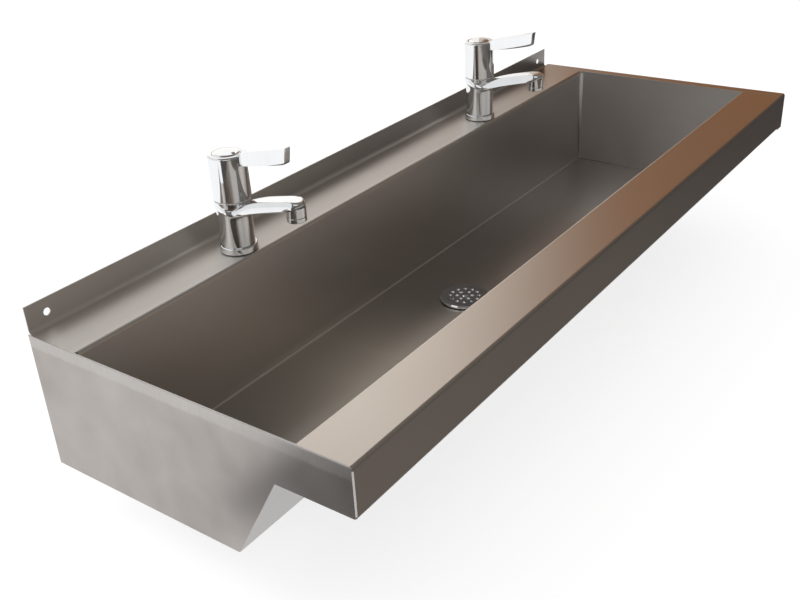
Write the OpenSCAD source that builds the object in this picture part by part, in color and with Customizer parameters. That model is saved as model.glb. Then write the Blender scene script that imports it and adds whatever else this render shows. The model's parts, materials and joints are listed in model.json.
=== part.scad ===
// Wall-hung trough sink folded from sheet steel, with a grated waste and two lever taps.
// The origin is the middle of the two wall-fixing holes, on the wall face. +X runs along the
// trough to the right, -Y comes out of the wall to the front, +Z is up. Sizes are millimetres.

/* [Trough] */
// Length of the trough over its two end panels
trough_len = 1180; // [1000:10:1600]
// Depth from the wall to the front of the apron
trough_depth = 448; // [430:2:480]
// Depth of the bowl below the ledge
bowl_depth = 171.5; // [140:0.5:220]
// Thickness of the sheet
sheet_t = 1.5; // [1.2:0.1:2]
// Depth of the tap ledge from the wall to the bowl
ledge_depth = 79; // [78:1:84]
// Width of the flat floor from back to front
floor_w = 207; // [200:1:220]
// Width of the front rim
rim_w = 66; // [50:1:80]
// Height of the front apron
apron_h = 58.5; // [40:0.5:80]
// Width of the fold turned in under the apron
return_w = 15; // [10:1:20]
// Height of the upstand above the ledge
upstand_h = 33; // [28:1:60]
// Inside radius of the sheet's folds
fold_r = 2.5; // [2:0.1:3]
// Inside radius of the fold between ledge and upstand
upstand_fold_r = 5; // [3:0.5:6]
// Width of the lip past the right end panel
lip_w = 20; // [15:1:30]
// Radius of the relief notch at the ledge's left front corner
notch_r = 1.2; // [0.8:0.1:1.5]

/* [Wall fixings] */
// Distance of each upper hole from the trough's end
wall_hole_inset = 28.5; // [24:0.5:60]
// Height of the upper holes above the ledge
wall_hole_up = 16; // [13:0.5:20]
// Radius of the wall-fixing holes
wall_hole_r = 4.5; // [3.5:0.25:5]
// Width of the wall flange on each end panel
flange_w = 28; // [26:1:40]
// Distance of the lower holes from the end panel's outer face
low_hole_inset = 16; // [14:0.5:18]
// Height of the lower holes above the underside
low_hole_up = 38; // [20:1:60]

/* [Damping and bonding] */
// Length of each damping pad
pad_len = 260; // [150:10:300]
// Width of each damping pad
pad_w = 140; // [100:5:180]
// Thickness of the damping pads
pad_t = 3; // [2:0.5:5]
// Distance of each damping pad's middle from the waste
pad_from_waste = 300; // [200:10:350]
// Reach of the bonding tab from the back of the bowl
tab_len = 20; // [18:1:30]
// Height of the bonding tab
tab_h = 16; // [14:1:24]
// Thickness of the bonding tab
tab_t = 2; // [1.5:0.5:3]
// Depth of the bonding tab below the ledge
tab_down = 90; // [70:5:120]
// Distance of the bonding tab from the middle of the trough
tab_x = 70; // [40:5:120]
// Radius of the bonding screw
bond_screw_r = 2.5; // [2:0.1:3]

/* [Waste] */
// Distance of the waste from the trough's left end
waste_from_end = 578; // [500:1:640]
// Distance of the waste from the wall
waste_out = 195; // [170:1:220]
// Radius of the waste flange
waste_flange_r = 36; // [34:0.5:40]
// Height of the flange above its washer
waste_flange_t = 3.4; // [3:0.1:5]
// Radius of the threaded tail
waste_tail_r = 23.9; // [20:0.05:26]
// Radius of the bore through the tail
waste_bore_r = 20.5; // [16:0.25:22]
// Length of the tail below the floor
waste_tail_len = 60; // [50:1:90]
// Length of the tail's free end, past the thread relief
waste_free_len = 40; // [25:1:40]
// Radius of the grid
grid_r = 27; // [25:0.5:29]
// Thickness of the grid
grid_t = 1.6; // [1.2:0.1:2.2]
// Number of round holes in the grid's outer ring
grid_holes = 12; // [8:1:14]
// Radius of the grid's holes
grid_hole_r = 2.8; // [2:0.1:3.2]
// Radius of the waste screw
waste_screw_r = 2.5; // [2:0.25:3]
// Height of the waste's back nut
waste_nut_h = 9; // [7:0.5:14]

/* [Tap places] */
// Distance of the left tap from the trough's left end
tap_from_end = 280; // [200:5:400]
// Distance between the taps
tap_pitch = 580; // [400:5:700]
// Distance of the taps from the wall
tap_out = 52; // [44:0.5:52]
// Radius of the tap holes in the ledge
tap_hole_r = 11.25; // [11:0.25:16]

/* [Tap body] */
// Radius of the base ring
ring_r = 24; // [23.8:0.1:25.5]
// Height of the base ring
ring_h = 8; // [6:0.5:12]
// Thickness of the washer under the base ring
seal_t = 1.2; // [0.8:0.1:2]
// Radius of the body at its foot
foot_r = 21; // [19:0.25:22]
// Radius of the body under its collar
body_r = 22.4; // [21:0.1:22.8]
// Radius of the collar
collar_r = 23.5; // [23:0.1:24]
// Height of the body above the base ring
body_h = 60.3; // [56:0.1:66]
// Height of the collar
collar_h = 4; // [3:0.5:6]
// Radius of the threaded inlet tail
tail_r = 10.48; // [9:0.02:13]
// Radius of the waterway through the tail
tail_bore_r = 6.5; // [5:0.25:7]
// Length of the tail below the ledge
tail_len = 55; // [48:1:80]
// Length of the tail's free end, past the thread relief
inlet_len = 22; // [15:1:26]
// Height of the back nut
back_nut_h = 8; // [6:0.5:12]

/* [Tap spout] */
// Reach of the spout from the tap's axis to the nozzle's
nozzle_out = 103; // [90:1:130]
// Height of the spout's underside above the ledge, at the nozzle
spout_under = 75.5; // [74:0.5:78]
// Rise of the spout in degrees
spout_rise = 12.9; // [11:0.1:14]
// Thickness of the spout
spout_t = 12.6; // [11:0.2:13]
// Radius of the spout's nose
nose_r = 13.5; // [12.5:0.1:15]
// Half width of the spout at its root
root_r = 15; // [13:0.25:17]
// Radius of the spout's rounded edges
spout_edge_r = 2.5; // [1.5:0.25:3.5]
// Radius of the nozzle
nozzle_r = 12; // [11:0.1:12.2]
// Height of the nozzle's outlet above the ledge
outlet_up = 60.5; // [58:0.5:62]
// Height of the aerator's housing
aerator_h = 6; // [5:0.25:7]

/* [Tap lever] */
// Outer radius of the lever's hub
hub_r = 23.75; // [23.2:0.05:24]
// Height of the hub
hub_h = 57; // [54:0.5:62]
// Thickness of the hub's wall
hub_wall = 3; // [2.5:0.1:3.2]
// Radius of the hub's top edge
hub_edge_r = 3; // [2:0.25:3.5]
// Reach of the lever from the tap's axis
lever_len = 101; // [85:1:130]
// Thickness of the lever from side to side
lever_w = 10.5; // [8:0.5:12]
// Height of the blade at its root
blade_root_h = 16.5; // [14:0.5:18]
// Height of the blade at its tip
blade_tip_h = 19.5; // [14:0.5:24]
// Rise of the blade's lower edge from root to tip
blade_rise = 18; // [10:0.5:24]
// Radius of the cap in the hub's top
cap_r = 17.5; // [15:0.25:18]

/* [Tap cartridge] */
// Radius of the chamber in the body
chamber_r = 12.6; // [12.2:0.1:13]
// Depth of the chamber below the collar
chamber_depth = 26; // [24:0.5:28]
// Height of the cartridge's drum
drum_h = 16.5; // [14:0.5:17]
// Radius of the cartridge's neck
neck_r = 8.5; // [7.5:0.1:9]
// Height of the cartridge's neck above the drum
neck_h = 20; // [18:0.5:22]
// Radius of the spindle
spindle_r = 4; // [3.5:0.1:4.5]

/* [Hidden] */

// Number of facets on true rounds and on blended shapes
$fn = 96;
blend_fn = 32;
// Steps along the arc of a fold
fold_steps = 6;
// Overrun of every cut
over = 1;
// Radial gaps of a loose fit, a running shaft, a thread in its nut and a tail in its hole
slip = 0.3;
run_gap = 0.05;
thread_gap = 0.15;
hole_gap = 1.1;

steel = [0.70, 0.68, 0.65];
chrome = [0.86, 0.87, 0.88];
brass = [0.80, 0.66, 0.36];
black_rubber = [0.12, 0.12, 0.12];

left_end = -trough_len / 2;
right_end = trough_len / 2;
underside = -bowl_depth - sheet_t;
rim_edge = -(trough_depth - rim_w);
waste_x = left_end + waste_from_end;
tap_1_x = left_end + tap_from_end;
tap_2_x = tap_1_x + tap_pitch;

// Directions and folds of a path of points in a plane
function unit(v) = v / norm(v);
function heading(path, i) = unit(path[i + 1] - path[i]);
function left_of(d) = [-d[1], d[0]];
function turned(v, a) = [v[0] * cos(a) - v[1] * sin(a), v[0] * sin(a) + v[1] * cos(a)];

// Arc of one face of the sheet round corner i of the path. The path follows the face that is
// seen. The sheet's other face is one thickness to the left of it, and off says which is wanted.
function fold_arc(path, radii, t, off, i) =
    let(n1 = left_of(heading(path, i - 1)), n2 = left_of(heading(path, i)),
        side = sign(cross(n1, n2)), r = side > 0 ? radii[i] + t : radii[i],
        centre = path[i] + side * r * (n1 + n2) / (1 + n1 * n2),
        face_r = r - side * off, sweep = side * acos(n1 * n2))
    [for (k = [0:fold_steps]) centre - side * face_r * turned(n1, sweep * k / fold_steps)];

// One face of the folded sheet from the path's first point to its last
function fold_face(path, radii, t, off) =
    let(last = len(path) - 1)
    concat([path[0] + off * left_of(heading(path, 0))],
           [for (i = [1:last - 1]) each fold_arc(path, radii, t, off, i)],
           [path[last] + off * left_of(heading(path, last - 1))]);

function backwards(points) = [for (i = [len(points) - 1:-1:0]) points[i]];

// Section of the trough, as [y, z] along the faces that are seen from above and in front
section = [
    [-sheet_t, upstand_h], [-sheet_t, 0], [-ledge_depth, 0], [-ledge_depth, -bowl_depth],
    [-ledge_depth - floor_w, -bowl_depth], [rim_edge, 0], [-trough_depth, 0],
    [-trough_depth, -apron_h], [-trough_depth + return_w, -apron_h]
];
section_r = [0, upstand_fold_r, fold_r, fold_r, fold_r, fold_r, fold_r, fold_r, 0];
floor_corner = len(section) - 5;
rim_corner = len(section) - 3;
apron_corner = len(section) - 2;

// Place on the bowl's sloping outer face, at height z
slope_dir = heading(section, floor_corner);
slope_foot = section[floor_corner] + sheet_t * left_of(slope_dir);
function slope_at(z) = [slope_foot[0] + (z - slope_foot[1]) * slope_dir[0] / slope_dir[1], z];

// Front of the rim and apron, inset by one or no sheet thickness, from the apron's foot up
function apron_face(off) = backwards(fold_arc(section, section_r, sheet_t, off, rim_corner));

// Stands an outline of [y, z] points up and pulls it along X from x0 to x1
module along_x(x0, x1) {
    translate([x0, 0, 0]) rotate([90, 0, 90]) linear_extrude(x1 - x0) children();
}

// Stands an outline of [x, z] points up and pulls it along Y from y0 to y1
module along_y(y0, y1) {
    translate([0, y1, 0]) rotate([90, 0, 0]) linear_extrude(y1 - y0) children();
}

// Moves a piece from the ledge's height to the part's frame
module from_ledge() { translate([0, 0, -wall_hole_up]) children(); }

// Hole through a wall that stands square to Y
module wall_hole(x, z) {
    translate([x, over, z]) rotate([90, 0, 0]) cylinder(r = wall_hole_r, h = sheet_t + 2 * over);
}

module at_waste() { from_ledge() translate([waste_x, -waste_out, -bowl_depth]) children(); }

module trough_shell() {
    color(steel) from_ledge() difference() {
        along_x(left_end + sheet_t, right_end - sheet_t)
            polygon(concat(fold_face(section, section_r, sheet_t, 0),
                           backwards(fold_face(section, section_r, sheet_t, sheet_t))));
        for (x = [left_end + wall_hole_inset, right_end - wall_hole_inset])
            wall_hole(x, wall_hole_up);
        for (x = [tap_1_x, tap_2_x])
            translate([x, -tap_out, -sheet_t - over]) cylinder(r = tap_hole_r, h = sheet_t + 2 * over);
        translate([waste_x, -waste_out, underside - over])
            cylinder(r = waste_hole_r, h = sheet_t + 2 * over);
        translate([left_end + sheet_t, -ledge_depth, -sheet_t - over])
            cylinder(r = notch_r, h = sheet_t + 2 * over);
    }
}

// Outline of an end panel: wall, underside, sloping front, apron and top
panel_outline = concat(
    [[0, 0], [0, underside]],
    fold_arc(section, section_r, sheet_t, sheet_t, floor_corner),
    [slope_at(-apron_h)],
    backwards(fold_arc(section, section_r, sheet_t, 0, apron_corner)),
    apron_face(0)
);

// End panel with its wall flange; inward is 1 when the flange runs towards +X
module end_panel(outer_x, inward) {
    edges = inward > 0 ? [outer_x, outer_x + flange_w] : [outer_x - flange_w, outer_x];
    plate = inward > 0 ? [outer_x, outer_x + sheet_t] : [outer_x - sheet_t, outer_x];
    flange_top = -sheet_t - upstand_fold_r;
    color(steel) from_ledge() difference() {
        union() {
            along_x(plate[0], plate[1]) polygon(panel_outline);
            translate([edges[0], -sheet_t, underside])
                cube([flange_w, sheet_t, flange_top - underside]);
        }
        wall_hole(outer_x + inward * low_hole_inset, underside + low_hole_up);
    }
}

module end_panel_left() { end_panel(left_end, 1); }

module end_panel_right() { end_panel(right_end, -1); }

// Outer side of the end rim from its foot over its top, as [x, z]
rim_side = [[right_end + lip_w, -apron_h], [right_end + lip_w, 0], [right_end, 0]];

// Box that the end rim fills, or its hollow when inset by the sheet
module rim_box(off) {
    run = off > 0 ? over : 0;
    foot = -apron_h - run;
    intersection() {
        along_x(right_end - run, right_end + lip_w)
            polygon(concat([[run, -off], [run, foot], [-trough_depth + off, foot]], apron_face(off)));
        along_y(-trough_depth, run)
            polygon(concat([[right_end + lip_w - off, foot]],
                           fold_arc(rim_side, [0, fold_r, 0], sheet_t, off, 1),
                           [[right_end - run, -off], [right_end - run, foot]]));
    }
}

module end_rim_right() {
    color(steel) from_ledge() difference() {
        rim_box(0);
        rim_box(sheet_t);
    }
}

module sound_pads() {
    color(black_rubber) from_ledge() for (side = [-1, 1])
        translate([waste_x + side * pad_from_waste - pad_len / 2,
                   -ledge_depth - floor_w / 2 - pad_w / 2, underside - pad_t])
            cube([pad_len, pad_w, pad_t]);
}

// Place of the bonding tab's screw
tab_hole_y = -ledge_depth + sheet_t + tab_len - tab_h / 2;

module earth_tab() {
    color(steel) from_ledge() difference() {
        translate([tab_x, -ledge_depth + sheet_t, -tab_down]) cube([tab_t, tab_len, tab_h]);
        translate([tab_x - over, tab_hole_y, -tab_down + tab_h / 2]) rotate([0, 90, 0])
            cylinder(r = bond_screw_r + slip, h = tab_t + 2 * over);
    }
}

// Radius over the corners and height of the bonding screw's head and nut
hex_r_share = 1.85;
hex_h_share = 1.6;
bond_hex_r = hex_r_share * bond_screw_r;
bond_hex_h = hex_h_share * bond_screw_r;

module earth_screw() {
    color(brass) from_ledge()
        translate([tab_x, tab_hole_y, -tab_down + tab_h / 2]) rotate([0, 90, 0]) {
            translate([0, 0, -bond_hex_h]) cylinder(r = bond_hex_r, h = bond_hex_h, $fn = 6);
            cylinder(r = bond_screw_r, h = tab_t + bond_hex_h + bond_screw_r);
            translate([0, 0, tab_t]) cylinder(r = bond_hex_r, h = bond_hex_h, $fn = 6);
        }
}

// Waste: heights are above the bowl's floor
waste_hole_r = waste_tail_r + hole_gap;
waste_washer_t = 1.5;
waste_low_washer_t = 2.5;
flange_top = waste_washer_t + waste_flange_t;
grid_seat = flange_top - grid_t;
waste_nut_top = -sheet_t - waste_low_washer_t;
waste_relief = 1;
relief_z = -waste_tail_len + waste_free_len;
relief_top = relief_z + 2 * waste_relief;
bar_t = 5;
bar_w = 8;
// How far the bar runs into the wall of the waste's bore
bar_grip = 0.5;

// Flange, tail with its thread relief, and the crossed bars that take the screw
module waste_body() {
    color(chrome) at_waste() difference() {
        union() {
            difference() {
                rotate_extrude() polygon([
                    [waste_bore_r, -waste_tail_len],
                    [waste_tail_r, -waste_tail_len],
                    [waste_tail_r, relief_z],
                    [waste_tail_r - waste_relief, relief_z],
                    [waste_tail_r - waste_relief, relief_top],
                    [waste_tail_r, relief_top],
                    [waste_tail_r, waste_washer_t],
                    [waste_flange_r, waste_washer_t],
                    [waste_flange_r, waste_washer_t + waste_flange_t / 2],
                    [waste_flange_r - waste_flange_t / 2, flange_top],
                    [waste_bore_r, flange_top]
                ]);
                translate([0, 0, grid_seat]) cylinder(r = grid_r + slip, h = grid_t + over);
            }
            for (turn = [0, 90]) rotate([0, 0, turn])
                translate([-waste_bore_r - bar_grip, -bar_w / 2, grid_seat - bar_t])
                    cube([2 * (waste_bore_r + bar_grip), bar_w, bar_t]);
        }
        translate([0, 0, grid_seat - bar_t - over])
            cylinder(r = waste_screw_r + run_gap, h = bar_t + 2 * over);
    }
}

grid_ring_share = 0.77;
grid_inner_share = 0.42;
grid_inner_holes = 6;

module waste_grid() {
    color(chrome) at_waste() translate([0, 0, grid_seat]) difference() {
        cylinder(r = grid_r, h = grid_t);
        for (i = [0:grid_holes - 1]) rotate([0, 0, 360 / grid_holes * i])
            translate([grid_r * grid_ring_share, 0, -over])
                cylinder(r = grid_hole_r, h = grid_t + 2 * over);
        for (i = [0:grid_inner_holes - 1]) rotate([0, 0, 360 / grid_inner_holes * i])
            translate([grid_r * grid_inner_share, 0, -over])
                cylinder(r = grid_hole_r, h = grid_t + 2 * over);
        translate([0, 0, -over]) cylinder(r = waste_screw_r + slip, h = grid_t + 2 * over);
    }
}

// Low raised head of the waste's screw
screw_head_share = 2;
screw_crown_share = 1.4;
screw_head_h_share = 0.7;

module waste_screw() {
    color(chrome) at_waste() {
        translate([0, 0, flange_top])
            cylinder(r1 = screw_head_share * waste_screw_r, r2 = screw_crown_share * waste_screw_r,
                     h = screw_head_h_share * waste_screw_r);
        translate([0, 0, grid_seat - bar_t]) cylinder(r = waste_screw_r, h = bar_t + grid_t);
    }
}

module washer(outer, inner, h) {
    difference() {
        cylinder(r = outer, h = h);
        translate([0, 0, -over]) cylinder(r = inner, h = h + 2 * over);
    }
}

module hex_nut(across, inner, h) {
    difference() {
        cylinder(r = across, h = h, $fn = 6);
        translate([0, 0, -over]) cylinder(r = inner, h = h + 2 * over);
    }
}

module waste_top_washer() {
    color(black_rubber) at_waste()
        washer(waste_flange_r - waste_flange_t / 2, waste_tail_r + slip, waste_washer_t);
}

module waste_bottom_washer() {
    color(black_rubber) at_waste() translate([0, 0, waste_nut_top])
        washer(waste_flange_r, waste_tail_r + slip, waste_low_washer_t);
}

module waste_nut() {
    color(brass) at_waste() translate([0, 0, waste_nut_top - waste_nut_h])
        hex_nut(waste_flange_r, waste_tail_r + thread_gap, waste_nut_h);
}

// Tap: heights are above the ledge, and the spout and lever run out along -Y
foot_z = seal_t + ring_h;
body_top = foot_z + body_h;
chamber_z = body_top - chamber_depth;
cartridge_seal_t = 2;
drum_z = chamber_z + cartridge_seal_t;
drum_top = drum_z + drum_h;
neck_top = drum_top + neck_h;
glide_t = 0.8;
glide_in = 1.2;
hub_z = body_top + glide_t + slip;
hub_top = hub_z + hub_h;
hub_in = hub_r - hub_wall;
tap_relief = 0.8;
tail_relief_z = -tail_len + inlet_len;

module at_tap(x) { from_ledge() translate([x, -tap_out, 0]) children(); }

// Frame of the spout: origin under the nozzle's axis, +Y back along the underside, +Z its normal
module at_spout() {
    translate([0, -nozzle_out, spout_under]) rotate([-spout_rise, 0, 0]) children();
}

// Quarter arc of radius r about a centre, from one angle to another, as points
arc_steps = 6;
function arc(centre, r, a0, a1) =
    [for (k = [0:arc_steps]) let(a = a0 + (a1 - a0) * k / arc_steps)
        centre + r * [cos(a), sin(a)]];

// Disc with rounded edges, from which the spout is blended
module soft_disc(r, h, edge) {
    rotate_extrude($fn = blend_fn) polygon(concat(
        [[0, 0]], arc([r - edge, edge], edge, -90, 0), arc([r - edge, h - edge], edge, 0, 90), [[0, h]]
    ));
}

// Where the spout's root disc stands behind the tap's axis-side wall, and the saddle under it
root_out = 9;
saddle_out = 13;

module spout() {
    back = (nozzle_out - root_out) / cos(spout_rise);
    at_spout() hull() {
        soft_disc(nose_r, spout_t, spout_edge_r);
        translate([0, back, 0]) soft_disc(root_r, spout_t, spout_edge_r);
    }
    translate([0, -nozzle_out, outlet_up + aerator_h])
        cylinder(r = nozzle_r, h = spout_under + spout_t / 2 - outlet_up - aerator_h);
}

// Blend from the collar down to the root of the spout
module saddle() {
    back = (nozzle_out - saddle_out) / cos(spout_rise);
    hull() {
        translate([0, 0, body_top - collar_h]) cylinder(r = collar_r, h = collar_h / 2, $fn = blend_fn);
        at_spout() translate([0, back, 0]) soft_disc(root_r, spout_t / 2, spout_edge_r);
    }
}

// Tail, foot, tapered body and collar as one turned outline
module tap_turning() {
    rotate_extrude() polygon([
        [0, -tail_len], [tail_r, -tail_len], [tail_r, tail_relief_z],
        [tail_r - tap_relief, tail_relief_z], [tail_r - tap_relief, tail_relief_z + 2 * tap_relief],
        [tail_r, tail_relief_z + 2 * tap_relief], [tail_r, foot_z],
        [foot_r, foot_z], [body_r, body_top - collar_h], [collar_r, body_top - collar_h],
        [collar_r, body_top - tap_relief], [collar_r - tap_relief, body_top], [0, body_top]
    ]);
}

seat_r = 5;
channel_r = 4;
outlet_r = 8.5;

module tap_body(x) {
    mid = spout_t / 2;
    color(chrome) at_tap(x) difference() {
        union() {
            tap_turning();
            saddle();
            spout();
        }
        translate([0, 0, chamber_z]) cylinder(r = chamber_r, h = chamber_depth + over);
        translate([0, 0, body_top]) cylinder(r = hub_r + slip, h = spout_t);
        translate([0, 0, -tail_len - over]) cylinder(r = tail_bore_r, h = tail_len + over + foot_z);
        translate([0, 0, foot_z - over]) cylinder(r = seat_r, h = chamber_z - foot_z + 2 * over);
        translate([0, -nozzle_out, outlet_up - over])
            cylinder(r = outlet_r, h = spout_under + mid - outlet_up + over);
        at_spout() translate([0, 0, mid]) rotate([-90, 0, 0])
            cylinder(r = channel_r, h = (nozzle_out - chamber_r / 2) / cos(spout_rise));
    }
}

module tap_base_ring(x) {
    color(chrome) at_tap(x) translate([0, 0, seal_t]) difference() {
        rotate_extrude() polygon(concat(
            [[tail_r + slip, 0], [ring_r, 0]],
            arc([ring_r - tap_relief, ring_h - tap_relief], tap_relief, 0, 90),
            [[tail_r + slip, ring_h]]
        ));
    }
}

module tap_base_washer(x) {
    color(black_rubber) at_tap(x) washer(ring_r - seal_t, tail_r + slip, seal_t);
}

washer_t = 2;
washer_w = 7;

module tap_fixing_washer(x) {
    color(brass) at_tap(x) translate([0, 0, -sheet_t - washer_t])
        washer(tap_hole_r + washer_w, tail_r + slip, washer_t);
}

back_nut_share = 1.5;

module tap_back_nut(x) {
    color(brass) at_tap(x) translate([0, 0, -sheet_t - washer_t - back_nut_h])
        hex_nut(back_nut_share * tail_r, tail_r + thread_gap, back_nut_h);
}

module tap_cartridge_seal(x) {
    color(black_rubber) at_tap(x) translate([0, 0, chamber_z])
        washer(chamber_r - 2 * slip, seat_r + slip, cartridge_seal_t);
}

bore_floor = 4;

module tap_cartridge(x) {
    color(brass) at_tap(x) difference() {
        union() {
            translate([0, 0, drum_z]) cylinder(r = chamber_r - slip, h = drum_h);
            translate([0, 0, drum_top]) cylinder(r = neck_r, h = neck_h);
        }
        translate([0, 0, drum_z + bore_floor])
            cylinder(r = spindle_r + run_gap, h = drum_h + neck_h - bore_floor + over);
    }
}

nut_head_h = 4.5;
nut_head_share = 1.1;

module tap_cartridge_nut(x) {
    color(brass) at_tap(x) difference() {
        union() {
            translate([0, 0, drum_top]) cylinder(r = chamber_r - thread_gap, h = body_top - drum_top);
            translate([0, 0, body_top]) cylinder(r = nut_head_share * chamber_r, h = nut_head_h, $fn = 6);
        }
        translate([0, 0, drum_top - over])
            cylinder(r = neck_r + slip, h = body_top - drum_top + nut_head_h + 2 * over);
    }
}

module tap_glide_ring(x) {
    color("ivory") at_tap(x) translate([0, 0, body_top])
        washer(hub_r - glide_in, hub_in - glide_in, glide_t);
}

module tap_aerator(x) {
    color(chrome) at_tap(x) translate([0, -nozzle_out, outlet_up]) difference() {
        rotate_extrude() polygon(concat(
            [[outlet_r, 0]], arc([nozzle_r - tap_relief, tap_relief], tap_relief, -90, 0),
            [[nozzle_r, aerator_h], [outlet_r, aerator_h]]
        ));
    }
}

insert_up = 1;
insert_hole_r = 1.1;
insert_rings = 2;
insert_ring_share = 0.38;
insert_ring_holes = 6;

module tap_aerator_insert(x) {
    color("gainsboro") at_tap(x) translate([0, -nozzle_out, outlet_up + insert_up]) difference() {
        cylinder(r = outlet_r - slip, h = aerator_h - insert_up);
        for (ring = [1:insert_rings], i = [0:ring * insert_ring_holes - 1])
            rotate([0, 0, 360 / (ring * insert_ring_holes) * i])
                translate([outlet_r * insert_ring_share * ring, 0, -over])
                    cylinder(r = insert_hole_r, h = aerator_h + 2 * over);
    }
}

// Lever and what turns with it
collar_t = 2.7;
spindle_collar_z = neck_top + slip;
boss_z = spindle_collar_z + collar_t;
collar_inset = 1;
head_step = 1;
head_r = spindle_r + head_step;
head_h = 16;
head_room = 1;
boss_r = 9;
cap_t = 2.5;
cap_dome = 2.2;
roof_t = 6.5;
lever_screw_r = 2;
lever_head_r = 3.6;
lever_head_h = 2.2;
recess_z = hub_top - cap_t;
screw_seat = recess_z - lever_head_h - slip;

module tap_spindle(x) {
    color(brass) at_tap(x) difference() {
        union() {
            translate([0, 0, drum_z + bore_floor + slip])
                cylinder(r = spindle_r, h = spindle_collar_z - drum_z - bore_floor - slip);
            translate([0, 0, spindle_collar_z]) cylinder(r = neck_r - collar_inset, h = collar_t);
            translate([0, 0, boss_z]) cylinder(r = head_r, h = head_h);
        }
        translate([0, 0, boss_z]) cylinder(r = lever_screw_r + thread_gap, h = head_h + over);
    }
}

// Point of a curve with one control point, at share t of its way
function bend_at(p0, p1, p2, t) = (1 - t) * (1 - t) * p0 + 2 * t * (1 - t) * p1 + t * t * p2;
blade_steps = 12;
function bend_line(p0, p1, p2) = [for (k = [0:blade_steps]) bend_at(p0, p1, p2, k / blade_steps)];

// Side view of the blade as [y, z]: lower edge from the root to the tip, then back along the top
tip_slant = 3.5;
blade_low = hub_top - blade_root_h + tip_slant / 2;
low_reach_share = 0.5;
low_rise_share = 0.25;
top_reach_share = 0.6;
top_rise_share = 0.4;
blade_top = blade_low + blade_root_h;
tip_low = blade_low + blade_rise;
tip_top = tip_low + blade_tip_h;
blade_outline = concat(
    bend_line([0, blade_low], [-lever_len * low_reach_share, blade_low + blade_rise * low_rise_share],
              [-lever_len + tip_slant, tip_low]),
    backwards(bend_line([0, blade_top],
                        [-lever_len * top_reach_share, blade_top + (tip_top - blade_top) * top_rise_share],
                        [-lever_len, tip_top]))
);
blade_corner_r = 3;
blade_foot = 0.5;

module blade() {
    half = lever_w / 2;
    intersection() {
        along_x(-half, half) polygon(blade_outline);
        translate([0, 0, blade_low - over]) linear_extrude(tip_top - blade_low + 2 * over)
            polygon(concat(
                [[half, -hub_in - blade_foot], [-half, -hub_in - blade_foot]],
                arc([-half + blade_corner_r, -lever_len + blade_corner_r], blade_corner_r, 180, 270),
                arc([half - blade_corner_r, -lever_len + blade_corner_r], blade_corner_r, 270, 360)
            ));
    }
}

module tap_lever(x) {
    color(chrome) at_tap(x) union() {
        rotate_extrude() polygon(concat(
            [[hub_in, hub_z], [hub_r, hub_z]],
            arc([hub_r - hub_edge_r, hub_top - hub_edge_r], hub_edge_r, 0, 90),
            [[cap_r + slip, hub_top], [cap_r + slip, recess_z], [lever_head_r + slip, recess_z],
             [lever_head_r + slip, screw_seat], [lever_screw_r + slip, screw_seat],
             [lever_screw_r + slip, boss_z + head_h + head_room],
             [head_r + slip, boss_z + head_h + head_room], [head_r + slip, boss_z],
             [boss_r, boss_z], [boss_r, hub_top - roof_t], [hub_in, hub_top - roof_t]]
        ));
        blade();
    }
}

screw_grip = 10;

module tap_lever_screw(x) {
    color("dimgray") at_tap(x) union() {
        translate([0, 0, boss_z + head_h - screw_grip])
            cylinder(r = lever_screw_r, h = screw_seat - boss_z - head_h + screw_grip);
        translate([0, 0, screw_seat]) cylinder(r = lever_head_r, h = lever_head_h);
    }
}

pip_r = 2.2;
pip_out = 11.5;
pip_t = 1.2;
pip_up = 0.3;
function dome_up(r) = cap_dome * (1 - r * r / (cap_r * cap_r));
pip_z = hub_top + dome_up(pip_out) + pip_up - pip_t;

module tap_cap(x) {
    color(chrome) at_tap(x) difference() {
        rotate_extrude() polygon(concat(
            [[0, recess_z], [cap_r, recess_z]],
            [for (k = [0:arc_steps]) let(r = cap_r * (1 - k / arc_steps)) [r, hub_top + dome_up(r)]]
        ));
        translate([0, -pip_out, pip_z]) cylinder(r = pip_r + slip / 2, h = cap_dome + over);
    }
}

module tap_index_pip(x) {
    color("dimgray") at_tap(x) translate([0, -pip_out, pip_z]) cylinder(r = pip_r, h = pip_t);
}

trough_shell();
end_panel_left();
end_panel_right();
end_rim_right();
sound_pads();
earth_tab();
earth_screw();
waste_body();
waste_grid();
waste_screw();
waste_top_washer();
waste_bottom_washer();
waste_nut();
tap_body(tap_1_x);  // tap_1_body
tap_base_ring(tap_1_x);  // tap_1_base_ring
tap_base_washer(tap_1_x);  // tap_1_base_washer
tap_fixing_washer(tap_1_x);  // tap_1_fixing_washer
tap_back_nut(tap_1_x);  // tap_1_back_nut
tap_cartridge(tap_1_x);  // tap_1_cartridge
tap_cartridge_seal(tap_1_x);  // tap_1_cartridge_seal
tap_cartridge_nut(tap_1_x);  // tap_1_cartridge_nut
tap_glide_ring(tap_1_x);  // tap_1_glide_ring
tap_aerator(tap_1_x);  // tap_1_aerator
tap_aerator_insert(tap_1_x);  // tap_1_aerator_insert
tap_lever(tap_1_x);  // tap_1_lever
tap_spindle(tap_1_x);  // tap_1_spindle
tap_lever_screw(tap_1_x);  // tap_1_lever_screw
tap_cap(tap_1_x);  // tap_1_cap
tap_index_pip(tap_1_x);  // tap_1_index_pip
tap_body(tap_2_x);  // tap_2_body
tap_base_ring(tap_2_x);  // tap_2_base_ring
tap_base_washer(tap_2_x);  // tap_2_base_washer
tap_fixing_washer(tap_2_x);  // tap_2_fixing_washer
tap_back_nut(tap_2_x);  // tap_2_back_nut
tap_cartridge(tap_2_x);  // tap_2_cartridge
tap_cartridge_seal(tap_2_x);  // tap_2_cartridge_seal
tap_cartridge_nut(tap_2_x);  // tap_2_cartridge_nut
tap_glide_ring(tap_2_x);  // tap_2_glide_ring
tap_aerator(tap_2_x);  // tap_2_aerator
tap_aerator_insert(tap_2_x);  // tap_2_aerator_insert
tap_lever(tap_2_x);  // tap_2_lever
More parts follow.
